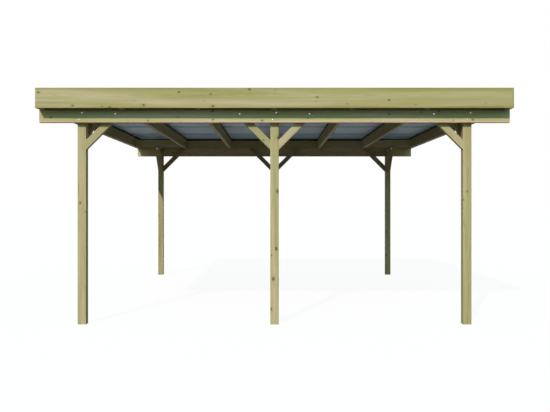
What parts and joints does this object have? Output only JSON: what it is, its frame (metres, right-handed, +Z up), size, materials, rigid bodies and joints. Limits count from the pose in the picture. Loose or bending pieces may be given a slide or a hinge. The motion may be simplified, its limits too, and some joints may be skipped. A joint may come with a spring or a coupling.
{
  "type": "carport",
  "caption": "Free-standing flat-roofed timber carport: square posts, knee braces, beams, rafters, fascia boards and ribbed metal roof sheets.",
  "frame": {"origin": "on the ground under the middle of the roof", "axes": "+Z up, +X along the beams and the way cars drive through, +Y along the rafters from the pictured long side to the far one"},
  "size_m": [4.93, 5.82, 2.47],
  "materials": {
    "post_timber": "planed, pressure treated",
    "beam_timber": "planed, pressure treated",
    "rafter_timber": "planed, pressure treated",
    "brace_timber": "planed, pressure treated",
    "fascia_timber": "planed, pressure treated",
    "roof_sheet": "grey-blue coated sheet"
  },
  "bodies": {
    "root": {"front_left_post": "post_timber", "front_middle_post": "post_timber", "front_right_post": "post_timber", "back_left_post": "post_timber", "back_middle_post": "post_timber", "back_right_post": "post_timber", "front_beam": "beam_timber", "back_beam": "beam_timber", "rafter_1": "rafter_timber", "rafter_2": "rafter_timber", "rafter_3": "rafter_timber", "rafter_4": "rafter_timber", "rafter_5": "rafter_timber", "rafter_6": "rafter_timber", "rafter_7": "rafter_timber", "front_blocking": "rafter_timber", "front_left_trimmer": "rafter_timber", "front_right_trimmer": "rafter_timber", "back_blocking": "rafter_timber", "back_left_trimmer": "rafter_timber", "back_right_trimmer": "rafter_timber", "front_left_beam_brace": "brace_timber", "front_middle_left_beam_brace": "brace_timber", "front_middle_right_beam_brace": "brace_timber", "front_right_beam_brace": "brace_timber", "back_left_beam_brace": "brace_timber", "back_middle_left_beam_brace": "brace_timber", "back_middle_right_beam_brace": "brace_timber", "back_right_beam_brace": "brace_timber", "front_left_rafter_brace": "brace_timber", "front_right_rafter_brace": "brace_timber", "back_left_rafter_brace": "brace_timber", "back_right_rafter_brace": "brace_timber", "front_fascia": "fascia_timber", "back_fascia": "fascia_timber", "left_fascia": "fascia_timber", "right_fascia": "fascia_timber", "roof_sheet_1": "roof_sheet", "roof_sheet_2": "roof_sheet", "roof_sheet_3": "roof_sheet", "roof_sheet_4": "roof_sheet", "roof_sheet_5": "roof_sheet"}
  },
  "joints": []
}
